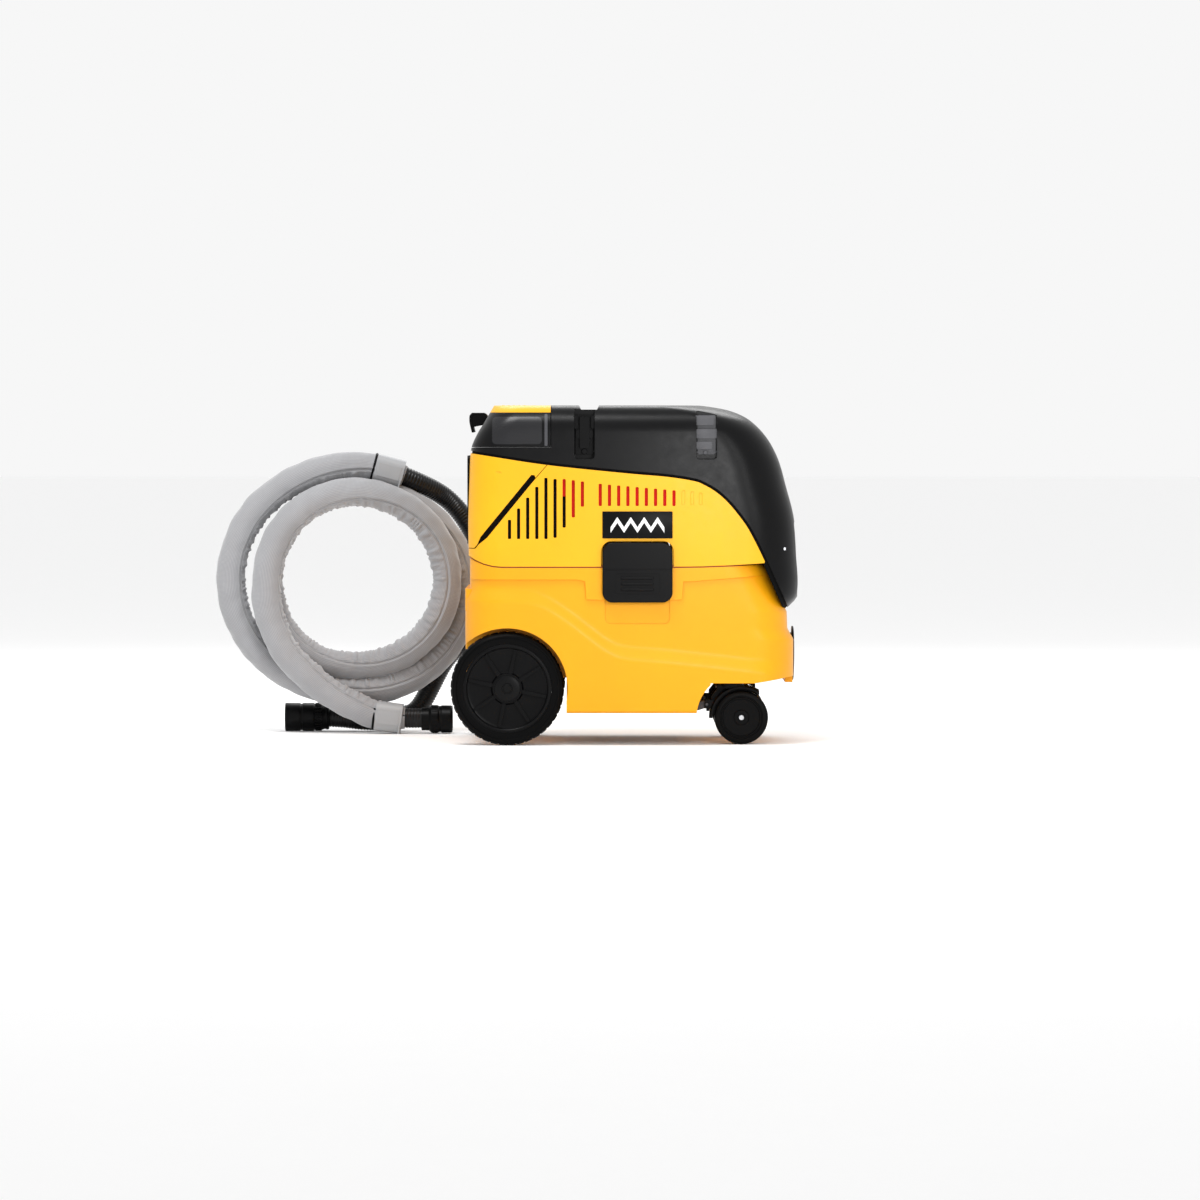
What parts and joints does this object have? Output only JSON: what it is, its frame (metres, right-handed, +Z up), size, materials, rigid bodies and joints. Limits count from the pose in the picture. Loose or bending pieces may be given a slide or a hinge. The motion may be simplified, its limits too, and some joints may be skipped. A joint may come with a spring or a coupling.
{
  "type": "wheeled dust extractor vacuum cleaner",
  "caption": "Wheeled canister vacuum cleaner with a lift-off motor head over a dust container, filters, latches, swivel casters and a coiled suction hose in a textile sleeve.",
  "frame": {"origin": "on the floor under the middle of the machine, measured without its hose", "axes": "+X to the machine's front, +Y to its left side, +Z up"},
  "size_m": [1.003, 0.5295, 0.568],
  "materials": {
    "yellow_plastic": "satin",
    "charcoal_plastic": "satin",
    "black_plastic": "satin",
    "gloss_black_plastic": "gloss",
    "grey_plastic": "satin",
    "red_plastic": "satin",
    "rubber": "matte",
    "tyre": "matte",
    "steel": "satin",
    "motor_aluminium": "satin",
    "filter_paper": "matte",
    "board": "satin",
    "sleeve_fabric": "matte",
    "hose_plastic": "satin"
  },
  "bodies": {
    "chassis": {"container": "yellow_plastic", "container_gasket": "rubber", "inlet_port": "black_plastic", "rear_axle": "steel", "hose_coil": "sleeve_fabric", "hose_tail_machine": "hose_plastic", "hose_tail_tool": "sleeve_fabric", "machine_cuff": "black_plastic", "tool_connector": "black_plastic"},
    "rear_wheel_right": {"wheel_tyre_right": "tyre", "wheel_rim_right": "black_plastic", "hub_cap_right": "black_plastic"},
    "caster_right": {"caster_fork_right": "black_plastic"},
    "caster_wheels_right": {"caster_wheel_outer_right": "rubber", "caster_wheel_inner_right": "rubber", "caster_axle_right": "steel"},
    "brake_right": {"caster_brake_right": "black_plastic"},
    "rear_wheel_left": {"wheel_tyre_left": "tyre", "wheel_rim_left": "black_plastic", "hub_cap_left": "black_plastic"},
    "caster_left": {"caster_fork_left": "black_plastic"},
    "caster_wheels_left": {"caster_wheel_outer_left": "rubber", "caster_wheel_inner_left": "rubber", "caster_axle_left": "steel"},
    "brake_left": {"caster_brake_left": "black_plastic"},
    "head": {"head_base": "black_plastic", "head_housing": "yellow_plastic", "rear_housing": "yellow_plastic", "rear_panel": "black_plastic", "cable_gland": "rubber", "top_cover": "charcoal_plastic", "control_panel": "black_plastic", "circuit_board": "board", "motor_scroll": "black_plastic", "motor_can": "motor_aluminium", "motor_mount": "rubber", "exhaust_duct": "red_plastic", "compartment_box": "gloss_black_plastic", "cable_hook": "black_plastic", "badge": "black_plastic", "latch_pin_right": "steel", "latch_pin_left": "steel"},
    "latch_right_body": {"latch_right": "black_plastic"},
    "clip_rear_right": {"case_clip_rear_right": "grey_plastic"},
    "clip_front_right": {"case_clip_front_right": "grey_plastic"},
    "filter_right": {"filter_frame_right": "black_plastic", "filter_pleats_right": "filter_paper"},
    "latch_left_body": {"latch_left": "black_plastic"},
    "clip_rear_left": {"case_clip_rear_left": "grey_plastic"},
    "clip_front_left": {"case_clip_front_left": "grey_plastic"},
    "filter_left": {"filter_frame_left": "black_plastic", "filter_pleats_left": "filter_paper"},
    "rotor": {"rotor_shaft": "steel", "impeller": "motor_aluminium"},
    "dial_power": {"power_dial": "grey_plastic"},
    "dial_hose": {"hose_dial": "grey_plastic"},
    "button": {"clean_button": "yellow_plastic"},
    "flap": {"socket_flap": "grey_plastic"},
    "lid": {"compartment_lid": "yellow_plastic"},
    "handle": {"carry_handle": "black_plastic"}
  },
  "joints": [
    {"name": "rear_wheel_right_roll", "type": "hinge", "parent": "chassis", "child": "rear_wheel_right", "pos_m": [-0.196, -0.17, 0.095], "axis": [0, 1, 0], "continuous": true},
    {"name": "caster_right_swivel", "type": "hinge", "parent": "chassis", "child": "caster_right", "pos_m": [0.176, -0.128, 0.11], "axis": [0, 0, 1], "continuous": true},
    {"name": "caster_wheels_right_roll", "type": "hinge", "parent": "caster_right", "child": "caster_wheels_right", "pos_m": [0.196, -0.128, 0.045], "axis": [0, 1, 0], "continuous": true},
    {"name": "brake_right_press", "type": "hinge", "parent": "caster_right", "child": "brake_right", "pos_m": [0.138, -0.128, 0.067], "axis": [0, -1, 0], "range_deg": [0, 18]},
    {"name": "rear_wheel_left_roll", "type": "hinge", "parent": "chassis", "child": "rear_wheel_left", "pos_m": [-0.196, 0.17, 0.095], "axis": [0, 1, 0], "continuous": true},
    {"name": "caster_left_swivel", "type": "hinge", "parent": "chassis", "child": "caster_left", "pos_m": [0.176, 0.128, 0.11], "axis": [0, 0, 1], "continuous": true},
    {"name": "caster_wheels_left_roll", "type": "hinge", "parent": "caster_left", "child": "caster_wheels_left", "pos_m": [0.196, 0.128, 0.045], "axis": [0, 1, 0], "continuous": true},
    {"name": "brake_left_press", "type": "hinge", "parent": "caster_left", "child": "brake_left", "pos_m": [0.138, 0.128, 0.067], "axis": [0, -1, 0], "range_deg": [0, 18]},
    {"name": "head_lift", "type": "slide", "parent": "chassis", "child": "head", "axis": [0, 0, 1], "range_m": [0, 0.25]},
    {"name": "latch_right_open", "type": "hinge", "parent": "head", "child": "latch_right_body", "pos_m": [0.0215, -0.187, 0.326], "axis": [-1, 0, 0], "range_deg": [0, 55]},
    {"name": "clip_rear_right_tilt", "type": "hinge", "parent": "head", "child": "clip_rear_right", "pos_m": [-0.067, -0.169, 0.49], "axis": [1, 0, 0], "range_deg": [0, 25]},
    {"name": "clip_front_right_tilt", "type": "hinge", "parent": "head", "child": "clip_front_right", "pos_m": [0.137, -0.169, 0.49], "axis": [1, 0, 0], "range_deg": [0, 25]},
    {"name": "filter_right_drop", "type": "slide", "parent": "head", "child": "filter_right", "axis": [0, 0, -1], "range_m": [0, 0.04]},
    {"name": "latch_left_open", "type": "hinge", "parent": "head", "child": "latch_left_body", "pos_m": [0.0215, 0.187, 0.326], "axis": [1, 0, 0], "range_deg": [0, 55]},
    {"name": "clip_rear_left_tilt", "type": "hinge", "parent": "head", "child": "clip_rear_left", "pos_m": [-0.067, 0.169, 0.49], "axis": [-1, 0, 0], "range_deg": [0, 25]},
    {"name": "clip_front_left_tilt", "type": "hinge", "parent": "head", "child": "clip_front_left", "pos_m": [0.137, 0.169, 0.49], "axis": [-1, 0, 0], "range_deg": [0, 25]},
    {"name": "filter_left_drop", "type": "slide", "parent": "head", "child": "filter_left", "axis": [0, 0, -1], "range_m": [0, 0.04]},
    {"name": "rotor_spin", "type": "hinge", "parent": "head", "child": "rotor", "pos_m": [-0.01, 0, 0.36], "axis": [0, 0, 1], "continuous": true},
    {"name": "power_dial_turn", "type": "hinge", "parent": "head", "child": "dial_power", "pos_m": [0.28, -0.056, 0.326], "axis": [1, 0, 0], "range_deg": [-135, 135]},
    {"name": "hose_dial_turn", "type": "hinge", "parent": "head", "child": "dial_hose", "pos_m": [0.28, 0.056, 0.326], "axis": [1, 0, 0], "range_deg": [-135, 135]},
    {"name": "clean_button_press", "type": "slide", "parent": "head", "child": "button", "axis": [-1, 0, 0], "range_m": [0, 0.004], "stiffness_N_per_m": 300, "springref_m": -0.003},
    {"name": "socket_flap_open", "type": "hinge", "parent": "head", "child": "flap", "pos_m": [0.2786, 0, 0.31], "axis": [0, -1, 0], "range_deg": [0, 85], "stiffness_Nm_per_rad": 0.02, "springref_deg": -17.19},
    {"name": "compartment_lid_open", "type": "hinge", "parent": "head", "child": "lid", "pos_m": [-0.1245, 0, 0.567], "axis": [0, 1, 0], "range_deg": [0, 95]},
    {"name": "carry_handle_lift", "type": "hinge", "parent": "head", "child": "handle", "pos_m": [0.122, 0, 0.558], "axis": [0, 1, 0], "range_deg": [0, 90]}
  ]
}
